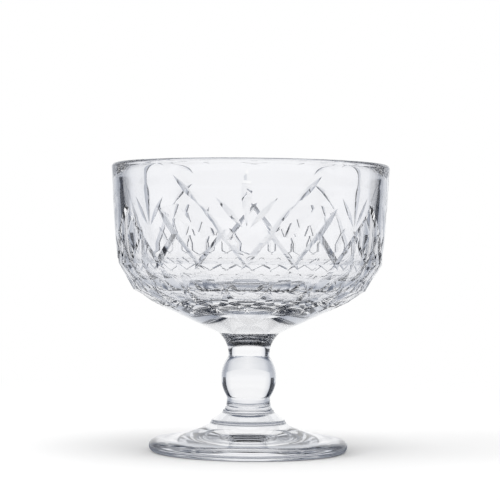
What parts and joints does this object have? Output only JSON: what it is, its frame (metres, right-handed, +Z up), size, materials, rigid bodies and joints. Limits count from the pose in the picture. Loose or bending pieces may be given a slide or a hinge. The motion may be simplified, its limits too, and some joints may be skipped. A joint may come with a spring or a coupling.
{
  "type": "parfait glass",
  "caption": "Footed dessert glass: a wide bowl with cut diamonds and fans on a short knopped stem and a round foot, for parfaits and sundaes.",
  "frame": {"origin": "centre of the resting plane under the foot", "axes": "+Z up along the axis of the glass; the middle of one fan of the cut pattern faces -Y"},
  "size_m": [0.111, 0.111, 0.1145],
  "materials": {
    "glass": "clear, polished, slightly grey-green in thick places"
  },
  "bodies": {
    "root": {"bowl": "glass", "stem": "glass", "foot": "glass"}
  },
  "joints": []
}
